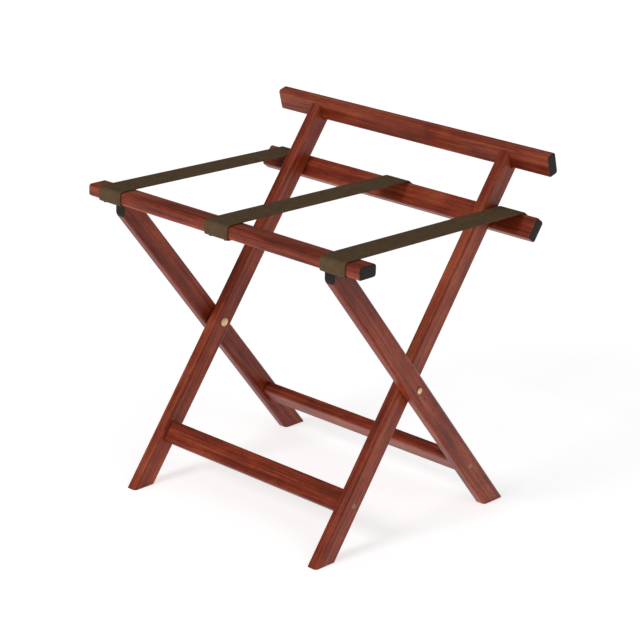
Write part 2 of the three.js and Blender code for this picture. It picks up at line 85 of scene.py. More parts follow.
def linear(hex_colour):
    """A linear RGBA colour from an sRGB hex value such as "8a4030"."""
    channels = [int(hex_colour[i : i + 2], 16) / 255 for i in (0, 2, 4)]
    return (
        *(c / 12.92 if c <= 0.04045 else ((c + 0.055) / 1.055) ** 2.4 for c in channels),
        1.0,
    )


# --- Settings ---------------------------------------------------------------------------------


class WoodSettings(bpy.types.PropertyGroup):
    """Stain and varnish of the boards."""

    deep_stain: FloatVectorProperty(
        name="Deep stain",
        description="Colour in the dark late wood of the grain",
        subtype="COLOR",
        size=4,
        min=0,
        max=1,
        default=linear("4e190d"),
    )
    stain: FloatVectorProperty(
        name="Stain",
        description="Main colour of the boards",
        subtype="COLOR",
        size=4,
        min=0,
        max=1,
        default=linear("88321a"),
    )
    pale_stain: FloatVectorProperty(
        name="Pale stain",
        description="Colour in the light early wood of the grain",
        subtype="COLOR",
        size=4,
        min=0,
        max=1,
        default=linear("a95232"),
    )
    end_grain: FloatVectorProperty(
        name="End grain",
        description="Colour where a board is cut across and has drunk the most stain",
        subtype="COLOR",
        size=4,
        min=0,
        max=1,
        default=linear("1a1310"),
    )
    grain_width: FloatProperty(
        name="Grain width",
        description="Distance from one streak of grain to the next",
        default=0.005,
        min=0.0005,
        unit="LENGTH",
    )
    grain_length: FloatProperty(
        name="Grain length",
        description="Length of one streak of grain",
        default=0.16,
        min=0.01,
        unit="LENGTH",
    )


class StrapSettings(bpy.types.PropertyGroup):
    """Shape and weave of the webbing."""

    thickness: FloatProperty(
        name="Thickness",
        description="Thickness of the webbing",
        default=0.0018,
        min=0.0005,
        unit="LENGTH",
    )
    seat: FloatProperty(
        name="Seat",
        description="Distance from the wood to the underside of the webbing",
        default=0.0004,
        min=0,
        unit="LENGTH",
    )
    bend_radius: FloatProperty(
        name="Bend radius",
        description="Radius of the webbing's middle where it turns over a rail's edge",
        default=0.0042,
        min=0.001,
        unit="LENGTH",
    )
    step: FloatProperty(
        name="Step",
        description="Distance between the sections that the strap is swept through",
        default=0.001,
        min=0.0005,
        unit="LENGTH",
    )
    yarn_pitch: FloatProperty(
        name="Yarn pitch",
        description="Distance from one warp yarn to the next",
        default=0.0021,
        min=0.0003,
        unit="LENGTH",
    )
    colour: FloatVectorProperty(
        name="Colour",
        description="Colour of the yarn",
        subtype="COLOR",
        size=4,
        min=0,
        max=1,
        default=linear("675239"),
    )


class HardwareSettings(bpy.types.PropertyGroup):
    """Finish of the turned and pressed pieces."""

    edge: FloatProperty(
        name="Edge",
        description="Width of the softened edges of turned pieces",
        default=0.0003,
        min=0,
        unit="LENGTH",
    )
    sides: IntProperty(
        name="Sides",
        description="Sides of the round heads",
        default=32,
        min=8,
        max=96,
    )


class StageSettings(bpy.types.PropertyGroup):
    """Camera, floor and light."""

    azimuth: FloatProperty(
        name="Azimuth",
        description="Direction of the camera round the rack, from the front towards its right",
        default=math.radians(41.894),
        subtype="ANGLE",
    )
    elevation: FloatProperty(
        name="Elevation",
        description="Angle of the camera above the horizon",
        default=math.radians(17.527),
        subtype="ANGLE",
    )
    roll: FloatProperty(
        name="Roll",
        description="Turn of the camera about its own line of sight",
        default=math.radians(2.301),
        subtype="ANGLE",
    )
    distance: FloatProperty(
        name="Distance",
        description="Distance from the camera to the point it is aimed at",
        default=3.5365,
        unit="LENGTH",
    )
    aim: FloatVectorProperty(
        name="Aim",
        description="Point the camera is aimed at, measured from the middle of the pivot line",
        subtype="TRANSLATION",
        default=(0.0176, 0.0, 0.1713),
    )
    lens: FloatProperty(
        name="Lens",
        description="Focal length in millimetres on a 36 mm sensor",
        default=121.52,
    )
    shift: FloatProperty(
        name="Shift",
        description="Rise of the lens as a share of the frame's height",
        default=-0.1,
    )
    floor_size: FloatProperty(
        name="Floor size",
        description="Side of the square floor",
        default=60.0,
        unit="LENGTH",
    )
    key_strength: FloatProperty(
        name="Key light",
        description="Strength of the broad soft light in front of the rack",
        default=1.0,
    )
    fill_strength: FloatProperty(
        name="Fill light",
        description="Strength of the broad soft light on the rack's right",
        default=0.42,
    )
    floor_glow: FloatProperty(
        name="Floor glow",
        description="Light that comes through the floor from below",
        default=0.58,
    )


class RackSettings(bpy.types.PropertyGroup):
    """All settings of the rack."""

    wood: PointerProperty(type=WoodSettings)
    strap: PointerProperty(type=StrapSettings)
    hardware: PointerProperty(type=HardwareSettings)
    stage: PointerProperty(type=StageSettings)


# --- Nodes and materials ------------------------------------------------------------------------


def add(tree, kind, inputs=None, stops=None, **settings):
    """Adds a node, with its settings, its inputs' values or links, and a ramp's stops."""
    made = tree.nodes.new(kind)
    for name, value in settings.items():
        setattr(made, name, value)
    for key, value in (inputs or {}).items():
        if isinstance(value, bpy.types.NodeSocket):
            tree.links.new(value, made.inputs[key])
        else:
            made.inputs[key].default_value = value
    for i, (position, colour) in enumerate(stops or ()):
        elements = made.color_ramp.elements
        stop = elements[i] if i < len(elements) else elements.new(position)
        stop.position = position
        stop.color = colour
    return made


def new_material(name, finish):
    """A material with one Principled shader, whose plain values come from `finish`."""
    material = bpy.data.materials.new(name)
    material.use_nodes = True
    tree = material.node_tree
    tree.nodes.clear()
    shader = add(tree, "ShaderNodeBsdfPrincipled", finish)
    add(tree, "ShaderNodeOutputMaterial", {"Surface": shader.outputs["BSDF"]})
    return material, tree, shader


def varnished_mahogany(wood):
    """Mahogany under red stain and satin varnish: streaky red-brown with short dark pores, a
    thin clear coat that catches the light at low angles, and nearly black end grain."""
    material, tree, shader = new_material(
        "varnished mahogany",
        {
            "IOR": 1.5,
            "Specular IOR Level": 0.2,
            "Coat Weight": 0.12,
            "Coat Roughness": 0.4,
            "Coat IOR": 1.35,
        },
    )
    place = add(tree, "ShaderNodeAttribute", attribute_name="grain").outputs["Vector"]
    across = 1 / wood.grain_width
    streak_place = add(
        tree,
        "ShaderNodeMapping",
        {"Vector": place, "Scale": (1 / wood.grain_length, across, across)},
    )
    streaks = add(
        tree,
        "ShaderNodeTexNoise",
        {
            "Vector": streak_place.outputs[0],
            "Scale": 1.0,
            "Detail": 5.0,
            "Roughness": 0.62,
            "Distortion": 0.35,
        },
    )
    # Broad bands of heartwood, ten streaks wide.
    band_place = add(
        tree,
        "ShaderNodeMapping",
        {"Vector": place, "Scale": (2.2, across / 10, across / 10)},
    )
    bands = add(
        tree,
        "ShaderNodeTexNoise",
        {"Vector": band_place.outputs[0], "Scale": 1.0, "Detail": 3.0, "Distortion": 0.6},
    )
    # Stain takes unevenly, in clouds a few centimetres across.
    clouds = add(tree, "ShaderNodeTexNoise", {"Vector": place, "Scale": 26.0, "Detail": 4.0})
    # Pores of mahogany are 0.2 mm wide, and are drawn 0.8 mm wide so that they show.
    pore_place = add(
        tree, "ShaderNodeMapping", {"Vector": place, "Scale": (95.0, 1250.0, 1250.0)}
    )
    pores = add(
        tree,
        "ShaderNodeTexNoise",
        {"Vector": pore_place.outputs[0], "Scale": 1.0, "Detail": 1.0},
    )
    mixed = add(
        tree,
        "ShaderNodeMath",
        {0: bands.outputs["Fac"], 1: 0.55, 2: streaks.outputs["Fac"]},
        operation="MULTIPLY_ADD",
    )
    clouded = add(
        tree,
        "ShaderNodeMath",
        {0: clouds.outputs["Fac"], 1: 0.35, 2: mixed.outputs[0]},
        operation="MULTIPLY_ADD",
    )
    level = add(
        tree,
        "ShaderNodeMapRange",
        {"Value": clouded.outputs[0], "From Min": 0.62, "From Max": 1.28},
    )
    stain = add(
        tree,
        "ShaderNodeValToRGB",
        {"Fac": level.outputs[0]},
        stops=[
            (0.12, tuple(wood.deep_stain)),
            (0.5, tuple(wood.stain)),
            (0.85, tuple(wood.pale_stain)),
        ],
    )
    pore_mask = add(
        tree,
        "ShaderNodeMapRange",
        {"Value": pores.outputs["Fac"], "From Min": 0.3, "From Max": 0.42, "To Min": 0.45},
        interpolation_type="SMOOTHSTEP",
    )
    pored = add(
        tree,
        "ShaderNodeMix",
        {0: 1.0, 6: stain.outputs["Color"], 7: pore_mask.outputs[0]},
        data_type="RGBA",
        blend_type="MULTIPLY",
    )
    ends = add(tree, "ShaderNodeAttribute", attribute_name="end_grain")
    coloured = add(
        tree,
        "ShaderNodeMix",
        {0: ends.outputs["Fac"], 6: pored.outputs[2], 7: tuple(wood.end_grain)},
        data_type="RGBA",
    )
    # Sanded end grain stays duller than the long faces.
    dullness = add(
        tree,
        "ShaderNodeMapRange",
        {"Value": ends.outputs["Fac"], "To Min": 0.38, "To Max": 0.6},
    )
    relief = add(
        tree,
        "ShaderNodeMath",
        {0: streaks.outputs["Fac"], 1: 0.35, 2: pore_mask.outputs[0]},
        operation="MULTIPLY_ADD",
    )
    bump = add(
        tree,
        "ShaderNodeBump",
        {"Height": relief.outputs[0], "Strength": 0.12, "Distance": 0.0004},
    )
    tree.links.new(coloured.outputs[2], shader.inputs["Base Color"])
    tree.links.new(dullness.outputs[0], shader.inputs["Roughness"])
    tree.links.new(bump.outputs[0], shader.inputs["Normal"])
    return material


def wooden_plug():
    """Mahogany plug cut across the grain of its board: paler, with fine pore dots."""
    material, tree, shader = new_material(
        "mahogany plug", {"IOR": 1.5, "Roughness": 0.38, "Coat Weight": 0.5, "Coat Roughness": 0.2}
    )
    place = add(tree, "ShaderNodeTexCoord").outputs["Object"]
    dots = add(tree, "ShaderNodeTexNoise", {"Vector": place, "Scale": 900.0, "Detail": 2.0})
    colour = add(
        tree,
        "ShaderNodeValToRGB",
        {"Fac": dots.outputs["Fac"]},
        stops=[(0.38, linear("6b2f20")), (0.62, linear("a45a40"))],
    )
    bump = add(
        tree,
        "ShaderNodeBump",
        {"Height": dots.outputs["Fac"], "Strength": 0.2, "Distance": 0.0002},
    )
    tree.links.new(colour.outputs["Color"], shader.inputs["Base Color"])
    tree.links.new(bump.outputs[0], shader.inputs["Normal"])
    return material


def woven_polypropylene(strap):
    """Flat polypropylene webbing in plain weave: matt olive-brown, with rows of yarn humps that
    run along the strap, and painted shade in the grooves between the yarns."""
    material, tree, shader = new_material(
        "woven polypropylene",
        {"IOR": 1.49, "Roughness": 0.85, "Specular IOR Level": 0.2},
    )
    place = add(tree, "ShaderNodeAttribute", attribute_name="weave").outputs["Vector"]
    yarns = add(
        tree,
        "ShaderNodeTexBrick",
        {
            "Vector": place,
            "Color1": (1, 1, 1, 1),
            "Color2": (0.72, 0.72, 0.72, 1),
            "Mortar": (0.12, 0.12, 0.12, 1),
            "Scale": 1.0,
            "Mortar Size": strap.yarn_pitch / 4,
            "Mortar Smooth": 1.0,
            "Brick Width": 1.8 * strap.yarn_pitch,
            "Row Height": strap.yarn_pitch,
        },
        offset=0.5,
    )
    # Dye and dust vary along the strap.
    wear = add(
        tree,
        "ShaderNodeTexNoise",
        {"Vector": place, "Scale": 60.0, "Detail": 5.0, "Roughness": 0.6},
    )
    tone = add(
        tree,
        "ShaderNodeMapRange",
        {
            "Value": wear.outputs["Fac"],
            "From Min": 0.3,
            "From Max": 0.7,
            "To Min": 0.8,
            "To Max": 1.15,
        },
    )
    # The gaps between the yarns are drawn darker than the yarns: painted shade in the grooves of the weave.
    painted_groove_shade = add(
        tree,
        "ShaderNodeMapRange",
        {"Value": yarns.outputs["Color"], "To Min": 0.55, "To Max": 1.12},
    )
    tone_and_painted_shade = add(
        tree,
        "ShaderNodeMath",
        {0: tone.outputs[0], 1: painted_groove_shade.outputs[0]},
        operation="MULTIPLY",
    )
    colour = add(
        tree,
        "ShaderNodeMix",
        {0: 1.0, 6: tuple(strap.colour), 7: tone_and_painted_shade.outputs[0]},
        data_type="RGBA",
        blend_type="MULTIPLY",
    )
    bump = add(
        tree,
        "ShaderNodeBump",
        {"Height": yarns.outputs["Color"], "Strength": 0.7, "Distance": 0.0005},
    )
    tree.links.new(colour.outputs[2], shader.inputs["Base Color"])
    tree.links.new(bump.outputs[0], shader.inputs["Normal"])
    return material


def metal(name, pale, dark, roughness, scratch_scale):
    """A bare or plated metal: a little uneven in tone, with fine handling marks that break up
    its reflections."""
    material, tree, shader = new_material(name, {"Metallic": 1.0})
    place = add(tree, "ShaderNodeTexCoord").outputs["Object"]
    marks = add(
        tree,
        "ShaderNodeTexNoise",
        {"Vector": place, "Scale": scratch_scale, "Detail": 6.0, "Roughness": 0.7},
    )
    colour = add(
        tree,
        "ShaderNodeValToRGB",
        {"Fac": marks.outputs["Fac"]},
        stops=[(0.3, linear(dark)), (0.65, linear(pale))],
    )
    rough = add(
        tree,
        "ShaderNodeMapRange",
        {
            "Value": marks.outputs["Fac"],
            "From Min": 0.3,
            "From Max": 0.7,
            "To Min": roughness,
            "To Max": roughness + 0.15,
        },
    )
    bump = add(
        tree,
        "ShaderNodeBump",
        {"Height": marks.outputs["Fac"], "Strength": 0.1, "Distance": 0.0002},
    )
    tree.links.new(colour.outputs["Color"], shader.inputs["Base Color"])
    tree.links.new(rough.outputs[0], shader.inputs["Roughness"])
    tree.links.new(bump.outputs[0], shader.inputs["Normal"])
    return material


def moulded_nylon():
    """Natural nylon washer: waxy off-white, slightly see-through at its rim."""
    material, tree, shader = new_material(
        "moulded nylon",
        {"IOR": 1.53, "Roughness": 0.45, "Subsurface Weight": 0.1, "Subsurface Scale": 0.001},
    )
    place = add(tree, "ShaderNodeTexCoord").outputs["Object"]
    haze = add(tree, "ShaderNodeTexNoise", {"Vector": place, "Scale": 400.0, "Detail": 3.0})
    colour = add(
        tree,
        "ShaderNodeValToRGB",
        {"Fac": haze.outputs["Fac"]},
        stops=[(0.3, linear("cfc9ba")), (0.7, linear("e2ddd0"))],
    )
    tree.links.new(colour.outputs["Color"], shader.inputs["Base Color"])
    return material


# --- Meshes -------------------------------------------------------------------------------------


def body_holding(node):
    """The name of the CAD body that a node belongs to."""
    return next(body for body, nodes in BODIES.items() if node in nodes)


def points_of(node):
    """A CAD node's vertices as an array of points."""
    mesh = frame["nodes"][node].data
    points = np.empty(len(mesh.vertices) * 3, np.float32)
    mesh.vertices.foreach_get("co", points)
    return points.reshape(-1, 3).astype(float)


def show(mesh, name):
    """A new object at the origin that shows this mesh."""
    made = bpy.data.objects.new(name, mesh)
    bpy.context.scene.collection.objects.link(made)
    return made


def settle(piece):
    """Turns a piece and its modifiers into a plain mesh, and takes the modifiers off."""
    bpy.context.view_layer.update()
    graph = bpy.context.evaluated_depsgraph_get()
    mesh = bpy.data.meshes.new_from_object(piece.evaluated_get(graph), depsgraph=graph)
    piece.modifiers.clear()
    piece.data = mesh
    return piece


def merged_copy(node, name):
    """A copy of a CAD node as one connected mesh, with its flat faces whole again."""
    bm = bmesh.new()
    bm.from_mesh(frame["nodes"][node].data)
    bmesh.ops.remove_doubles(bm, verts=bm.verts, dist=1e-6)
    bmesh.ops.dissolve_limit(bm, angle_limit=math.radians(0.3), verts=bm.verts, edges=bm.edges)
    mesh = bpy.data.meshes.new(name)
    bm.to_mesh(mesh)
    bm.free()
    return show(mesh, name)


def softened_copy(node, name, edge, segments):
    """A copy of a turned CAD node with its sharp edges eased."""
    piece = merged_copy(node, name)
    soft = piece.modifiers.new("Soft edges", "BEVEL")
    soft.width = edge
    soft.segments = segments
    soft.limit_method = "ANGLE"
    soft.angle_limit = TURNED_SHARP
    piece.data.shade_smooth()
    settle(piece)
    piece.data.set_sharp_from_angle(angle=TURNED_SHARP)
    return piece


def stand_in(piece, nodes, material):
    """Makes a piece stand for CAD nodes of one body and its finish."""
    piece.data.materials.clear()
    piece.data.materials.append(material)
    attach(piece, body_holding(nodes[0]))
    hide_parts(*nodes)


class Outline:
    """The side view of a board: its middle and its long and short directions in (y, z), with
    half its size along each."""

    def __init__(self, node):
        points = points_of(node)[:, 1:]
        hull = [Vector(points[i]) for i in convex_hull_2d([tuple(p) for p in points])]
        edges = [b - a for a, b in zip(hull, hull[1:] + hull[:1])]
        self.long = max(edges, key=lambda edge: edge.length).normalized()
        if self.long.y < 0:
            self.long = -self.long
        self.short = Vector((self.long.y, -self.long.x))
        along = points @ np.array(self.long)
        across = points @ np.array(self.short)
        self.half_long = (along.max() - along.min()) / 2
        self.half_short = (across.max() - across.min()) / 2
        self.middle = self.long * ((along.max() + along.min()) / 2)
        self.middle += self.short * ((across.max() + across.min()) / 2)

    def at(self, along, across):
        """The (y, z) point that lies `along` and `across` from the middle."""
        return self.middle + self.long * along + self.short * across


def mark_grain(piece, node, seed):
    """Gives a board its grain coordinates, in metres along, across and through it, and marks
    the faces that are cut across the grain."""
    side = Outline(node)
    low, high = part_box(node)
    length_axis = Vector((0, *side.long))
    width_axis = Vector((1, 0, 0))
    if high.x - low.x > 2 * side.half_long:
        length_axis, width_axis = width_axis, length_axis
    axes = [length_axis, width_axis, Vector((0, *side.short))]
    mesh = piece.data
    shift = GRAIN_STEP * seed
    grain = mesh.attributes.new("grain", "FLOAT_VECTOR", "POINT")
    for vertex, place in zip(mesh.vertices, grain.data):
        place.vector = Vector([vertex.co.dot(axis) for axis in axes]) + shift
    ends = mesh.attributes.new("end_grain", "FLOAT", "FACE")
    for face, end in zip(mesh.polygons, ends.data):
        end.value = float(abs(face.normal.dot(length_axis)) > END_GRAIN_FACING)


def lathe(name, profile, sides):
    """A turned mesh about Z from (radius, z) points that start and end on the axis."""
    bm = bmesh.new()
    rings = []
    for radius, z in profile:
        if radius == 0:
            rings.append([bm.verts.new((0, 0, z))])
            continue
        turns = [2 * math.pi * i / sides for i in range(sides)]
        rings.append([bm.verts.new((radius * math.cos(t), radius * math.sin(t), z)) for t in turns])
    for lower, upper in zip(rings, rings[1:]):
        for i in range(sides):
            j = (i + 1) % sides
            corners = [lower[i % len(lower)], lower[j % len(lower)]]
            corners += [upper[j % len(upper)], upper[i % len(upper)]]
            bm.faces.new(list(dict.fromkeys(corners)))
    bmesh.ops.recalc_face_normals(bm, faces=bm.faces)
    mesh = bpy.data.meshes.new(name)
    bm.to_mesh(mesh)
    bm.free()
    return mesh


def driven_line(node):
    """The top of a screw's or tack's head and the way it points, from its CAD node."""
    points = points_of(node)
    middle = points.mean(0)
    tip = points[np.argmax(np.linalg.norm(points - middle, axis=1))]
    way = (tip - middle) / np.linalg.norm(tip - middle)
    reach = (points @ way).min()
    return Vector(tip + way * (reach - tip @ way)), Vector(way)


def turned_sizes(node):
    """A screw's or tack's length, its head's radius and depth, and its shank's radius."""
    top, way = driven_line(node)
    offsets = points_of(node) - np.array(top)
    depths = offsets @ np.array(way)
    radii = np.linalg.norm(offsets - np.outer(depths, np.array(way)), axis=1)
    head = radii.max()
    under = depths[radii > 0.9 * head].max()
    shank = radii[depths > 1.5 * under].max()
    return depths.max(), head, under, shank


# --- Geometry node trees ------------------------------------------------------------------------


def new_tree(name, inputs):
    """A geometry node tree with named inputs and one geometry output."""
    tree = bpy.data.node_groups.new(name, "GeometryNodeTree")
    for label, kind in inputs:
        tree.interface.new_socket(label, in_out="INPUT", socket_type=kind)
    tree.interface.new_socket("Geometry", in_out="OUTPUT", socket_type="NodeSocketGeometry")
    return tree, tree.nodes.new("NodeGroupInput").outputs


def grown(piece, tree, values):
    """Runs a tree on a piece with these input values and leaves the result as a plain mesh."""
    modifier = piece.modifiers.new("Build", "NODES")
    modifier.node_group = tree
    for item in tree.interface.items_tree:
        if item.in_out == "INPUT" and item.name in values:
            modifier[item.identifier] = values[item.name]
    return settle(piece)


def strap_tree():
    """Sweeps a flat band with rounded selvedges along a path whose corners it rounds."""
    tree, given = new_tree(
        "Webbing strap",
        [
            ("Path", "NodeSocketGeometry"),
            ("Centre", "NodeSocketFloat"),
            ("Width", "NodeSocketFloat"),
            ("Thickness", "NodeSocketFloat"),
            ("Bend radius", "NodeSocketFloat"),
            ("Step", "NodeSocketFloat"),
            ("Material", "NodeSocketMaterial"),
        ],
    )
    line = add(tree, "GeometryNodeMeshToCurve", {"Mesh": given["Path"]})
    bent = add(
        tree,
        "GeometryNodeFilletCurve",
        {
            "Curve": line.outputs[0],
            "Radius": given["Bend radius"],
            "Count": 8,
            "Limit Radius": True,
        },
        mode="POLY",
    )
    spaced = add(
        tree,
        "GeometryNodeResampleCurve",
        {"Curve": bent.outputs[0], "Length": given["Step"]},
        mode="LENGTH",
    )
    measured = add(
        tree,
        "GeometryNodeStoreNamedAttribute",
        {
            "Geometry": spaced.outputs[0],
            "Name": "along",
            "Value": add(tree, "GeometryNodeSplineParameter").outputs["Length"],
        },
        data_type="FLOAT",
        domain="POINT",
    )
    section = add(
        tree,
        "GeometryNodeCurvePrimitiveQuadrilateral",
        {"Width": given["Width"], "Height": given["Thickness"]},
        mode="RECTANGLE",
    )
    selvedge = add(
        tree,
        "ShaderNodeMath",
        {0: given["Thickness"], 1: 0.42},
        operation="MULTIPLY",
    )
    rounded = add(
        tree,
        "GeometryNodeFilletCurve",
        {"Curve": section.outputs[0], "Radius": selvedge.outputs[0], "Count": 3},
        mode="POLY",
    )
    band = add(
        tree,
        "GeometryNodeCurveToMesh",
        {"Curve": measured.outputs[0], "Profile Curve": rounded.outputs[0], "Fill Caps": True},
    )
    position = add(tree, "GeometryNodeInputPosition").outputs[0]
    place = add(tree, "ShaderNodeSeparateXYZ", {0: position})
    across = add(
        tree,
        "ShaderNodeMath",
        {0: place.outputs["X"], 1: given["Centre"]},
        operation="SUBTRACT",
    )
    along = add(
        tree, "GeometryNodeInputNamedAttribute", {"Name": "along"}, data_type="FLOAT"
    )
    weave = add(
        tree,
        "ShaderNodeCombineXYZ",
        {"X": along.outputs["Attribute"], "Y": across.outputs[0]},
    )
    marked = add(
        tree,
        "GeometryNodeStoreNamedAttribute",
        {"Geometry": band.outputs[0], "Name": "weave", "Value": weave.outputs[0]},
        data_type="FLOAT_VECTOR",
        domain="POINT",
    )
    real = add(tree, "GeometryNodeRealizeInstances", {0: marked.outputs[0]})
    finished = add(
        tree,
        "GeometryNodeSetMaterial",
        {"Geometry": real.outputs[0], "Material": given["Material"]},
    )
    add(tree, "NodeGroupOutput", {0: finished.outputs[0]})
    return tree


def fastener_tree():
    """Sets a copy of one fastener on every point, turned the way the point's `aim` says."""
    tree, given = new_tree(
        "Fasteners",
        [
            ("Points", "NodeSocketGeometry"),
            ("Fastener", "NodeSocketObject"),
            ("Material", "NodeSocketMaterial"),
        ],
    )
    shape = add(tree, "GeometryNodeObjectInfo", {"Object": given["Fastener"]})
    aim = add(
        tree, "GeometryNodeInputNamedAttribute", {"Name": "aim"}, data_type="FLOAT_VECTOR"
    )
    turn = add(
        tree, "FunctionNodeAlignRotationToVector", {"Vector": aim.outputs["Attribute"]}, axis="Z"
    )
    copies = add(
        tree,
        "GeometryNodeInstanceOnPoints",
        {
            "Points": given["Points"],
            "Instance": shape.outputs["Geometry"],
            "Rotation": turn.outputs[0],
        },
    )
    real = add(tree, "GeometryNodeRealizeInstances", {0: copies.outputs[0]})
    finished = add(
        tree,
        "GeometryNodeSetMaterial",
        {"Geometry": real.outputs[0], "Material": given["Material"]},
    )
    add(tree, "NodeGroupOutput", {0: finished.outputs[0]})
    return tree


def set_fasteners(name, nodes, fastener, material):
    """Stands copies of a fastener, built with its head's top at the origin and its shank down
    -Z, in the places of these CAD nodes of one body."""
    lines = [driven_line(node) for node in nodes]
    mesh = bpy.data.meshes.new(name)
    mesh.from_pydata([top for top, way in lines], [], [])
    aims = mesh.attributes.new("aim", "FLOAT_VECTOR", "POINT")
    for (top, way), aim in zip(lines, aims.data):
        aim.vector = -way
    piece = grown(show(mesh, name), fastener_tree(), {"Fastener": fastener, "Material": material})
    piece.data.shade_smooth()
    piece.data.set_sharp_from_angle(angle=math.radians(35))
    stand_in(piece, nodes, material)


# --- Operators ----------------------------------------------------------------------------------


class BuildBoards(bpy.types.Operator):
    """Build the legs, rails and stretchers"""

    bl_idname = "luggage_rack.build_boards"
    bl_label = "Boards"

    def execute(self, context):
        material = varnished_mahogany(context.scene.luggage_rack.wood)
        for seed, node in enumerate(LEGS + RAILS):
            piece = merged_copy(node, f"board_{node}")
            piece.data.shade_smooth()
            weighted = piece.modifiers.new("Even shading", "WEIGHTED_NORMAL")
            weighted.weight = 100
            piece.data.set_sharp_from_angle(angle=math.radians(50))
            weighted.keep_sharp = True
            settle(piece)
            mark_grain(piece, node, seed)
            stand_in(piece, [node], material)
        return {"FINISHED"}


class BuildStraps(bpy.types.Operator):
    """Build the three webbing straps from rail to rail"""

    bl_idname = "luggage_rack.build_straps"
    bl_label = "Straps"

    def path(self, strap):
        """The middle of the webbing in (y, z), from under the front rail to the rear rail's
        back face."""
        rear = Outline("rear_rail")
        off = strap.seat + strap.thickness / 2
        low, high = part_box("front_rail")
        # The tucked end stops a fifth of a tack head's width behind the front tacks.
        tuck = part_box("strap_middle_front_tack_left")
        tuck_end = tuck[1].y + (tuck[1].y - tuck[0].y) / 5
        tack_top, way = driven_line("strap_middle_rear_tack_left")
        tack = Vector((tack_top.y, tack_top.z)) - rear.middle
        rear_end = tack.dot(rear.long) - (rear.half_long - tack.dot(rear.long))
        back = rear.half_short + off
        top = rear.half_long + off
        return [
            Vector((tuck_end, low.z - off)),
            Vector((low.y - off, low.z - off)),
            Vector((low.y - off, high.z + off)),
            Vector((high.y, high.z + off)),
            rear.at(top, -rear.half_short),
            rear.at(top, back),
            rear.at(rear_end, back),
        ]

    def execute(self, context):
        strap = context.scene.luggage_rack.strap
        material = woven_polypropylene(strap)
        tree = strap_tree()
        path = self.path(strap)
        for which in STRAPS:
            node = f"strap_{which}"
            low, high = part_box(node)
            centre = (low.x + high.x) / 2
            mesh = bpy.data.meshes.new(f"webbing_{which}")
            ends = range(len(path) - 1)
            mesh.from_pydata([(centre, *p) for p in path], [(i, i + 1) for i in ends], [])
            piece = grown(
                show(mesh, f"webbing_{which}"),
                tree,
                {
                    "Centre": centre,
                    "Width": high.x - low.x,
                    "Thickness": strap.thickness,
                    "Bend radius": strap.bend_radius,
                    "Step": strap.step,
                    "Material": material,
                },
            )
            piece.data.shade_smooth()
            piece.data.set_sharp_from_angle(angle=math.radians(60))
            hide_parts(node)
            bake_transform(piece)
        return {"FINISHED"}


class BuildPivots(bpy.types.Operator):
    """Build the pivot bolts, barrel nuts and washers"""

    bl_idname = "luggage_rack.build_pivots"
    bl_label = "Pivots"

    def execute(self, context):
        edge = context.scene.luggage_rack.hardware.edge
        # Lacquered brass, turned: pale warm tan, with a broad soft sheen on each domed head.
        brass = metal(
            "turned brass", pale="f0d6ae", dark="d2b183", roughness=0.42, scratch_scale=700.0
        )
        nylon = moulded_nylon()
        kinds = [
            ("pivot_bolt", "brass", brass),
            ("pivot_barrel_nut", "brass", brass),
            ("pivot_washer", "nylon", nylon),
        ]
        for side in SIDES:
            for kind, slot, material in kinds:
                node = f"{kind}_{side}"
                piece = softened_copy(node, f"turned_{node}", edge, 3)
                stand_in(piece, [node], material)
        return {"FINISHED"}


class BuildPlugs(bpy.types.Operator):
    """Build the wooden plugs over the stretchers' and guard rail's screws"""

    bl_idname = "luggage_rack.build_plugs"
    bl_label = "Plugs"

    def execute(self, context):
        edge = context.scene.luggage_rack.hardware.edge
        material = wooden_plug()
        for kind in ("front_stretcher_plug", "rear_stretcher_plug", "guard_rail_plug"):
            for side in SIDES:
                node = f"{kind}_{side}"
                piece = softened_copy(node, f"glued_{node}", edge, 2)
                stand_in(piece, [node], material)
        return {"FINISHED"}


class BuildScrews(bpy.types.Operator):
    """Build the wood screws"""

    bl_idname = "luggage_rack.build_screws"
    bl_label = "Screws"

    def screw(self, node, hardware):
        """A pan-head screw with a cross recess, sized from its CAD node."""
        length, head, under, shank = turned_sizes(node)
        profile = [
            (0, -length),
            (shank, -length + 2 * shank),
            (shank, -under),
            (head, -under),
            (head, -under / 3),
            (0.9 * head, -under / 8),
            (0.7 * head, 0),
            (0, 0),
        ]
        made = show(lathe("screw", profile, hardware.sides), "screw")
        arm = head * 0.62
        for turn in (0, math.pi / 2):
            bm = bmesh.new()
            size = Matrix.Diagonal((2 * arm, head * 0.2, under, 1))
            bmesh.ops.create_cube(bm, size=1, matrix=Matrix.Rotation(turn, 4, "Z") @ size)
            mesh = bpy.data.meshes.new("recess")
            bm.to_mesh(mesh)
            bm.free()
            cutter = show(mesh, "recess")
            cut = made.modifiers.new("Recess", "BOOLEAN")
            cut.object = cutter
            cut.operation = "DIFFERENCE"
            settle(made)
            bpy.data.objects.remove(cutter)
        return made

    def execute(self, context):
        hardware = context.scene.luggage_rack.hardware
        # Zinc-plated steel: cool grey, slightly cloudy, brighter on the rims.
        zinc = metal(
            "zinc-plated steel", pale="b9bdc0", dark="7d8184", roughness=0.32, scratch_scale=900.0
        )
        rear = [f"rear_rail_{level}_screw_{side}" for level in ("lower", "upper") for side in SIDES]
        made = self.screw(rear[0], hardware)
        set_fasteners("rear_rail_screws", rear, made, zinc)
        bpy.data.objects.remove(made)
        for kind in ("front_stretcher", "rear_stretcher", "front_rail", "guard_rail"):
            for side in SIDES:
                hidden = frame["nodes"][f"{kind}_screw_{side}"]
                hidden.material_slots[0].material = zinc
        return {"FINISHED"}


